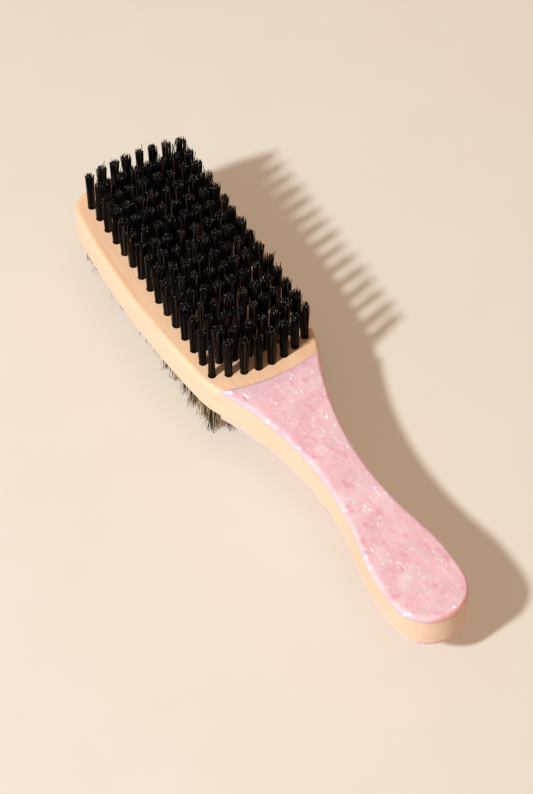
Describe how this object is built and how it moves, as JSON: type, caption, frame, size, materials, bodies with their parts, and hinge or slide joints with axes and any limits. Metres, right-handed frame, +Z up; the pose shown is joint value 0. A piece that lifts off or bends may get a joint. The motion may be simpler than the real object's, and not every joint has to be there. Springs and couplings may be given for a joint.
{
  "type": "two-sided hairbrush",
  "caption": "Two-sided club hairbrush: pale wooden body, paddle head with stiff tufts above and natural tufts below, waisted handle faced with pearly pink acetate scales.",
  "frame": {"origin": "under the middle of the brush, at the level of the lower tufts' tips, on which it stands", "axes": "+X from the head to the handle's butt, +Z up, from the lower tufts to the upper tufts, Y across the head"},
  "size_m": [0.227, 0.0528, 0.045],
  "materials": {
    "beech": "fine-grained pale wood, sanded, satin clear coat",
    "pearl_acetate": "polished cellulose acetate, milky pink with pearl flakes",
    "nylon_bristle": "black extruded filament, slight sheen",
    "natural_bristle": "natural boar bristle, mixed brown, olive and tan",
    "anchor_wire": "flat drawn wire"
  },
  "bodies": {
    "root": {"wood_body": "beech", "upper_scale": "pearl_acetate", "lower_scale": "pearl_acetate", "upper_tuft_row_01": "nylon_bristle", "upper_tuft_row_02": "nylon_bristle", "upper_tuft_row_03": "nylon_bristle", "upper_tuft_row_04": "nylon_bristle", "upper_tuft_row_05": "nylon_bristle", "upper_tuft_row_06": "nylon_bristle", "upper_tuft_row_07": "nylon_bristle", "upper_tuft_row_08": "nylon_bristle", "upper_tuft_row_09": "nylon_bristle", "upper_tuft_row_10": "nylon_bristle", "upper_tuft_row_11": "nylon_bristle", "upper_tuft_row_12": "nylon_bristle", "upper_tuft_row_13": "nylon_bristle", "upper_tuft_row_14": "nylon_bristle", "upper_tuft_row_15": "nylon_bristle", "lower_tuft_row_01": "natural_bristle", "lower_tuft_row_02": "natural_bristle", "lower_tuft_row_03": "natural_bristle", "lower_tuft_row_04": "natural_bristle", "lower_tuft_row_05": "natural_bristle", "lower_tuft_row_06": "natural_bristle", "lower_tuft_row_07": "natural_bristle", "lower_tuft_row_08": "natural_bristle", "lower_tuft_row_09": "natural_bristle", "lower_tuft_row_10": "natural_bristle", "lower_tuft_row_11": "natural_bristle", "lower_tuft_row_12": "natural_bristle", "lower_tuft_row_13": "natural_bristle", "lower_tuft_row_14": "natural_bristle", "lower_tuft_row_15": "natural_bristle", "upper_tuft_anchors": "anchor_wire", "lower_tuft_anchors": "anchor_wire"}
  },
  "joints": []
}
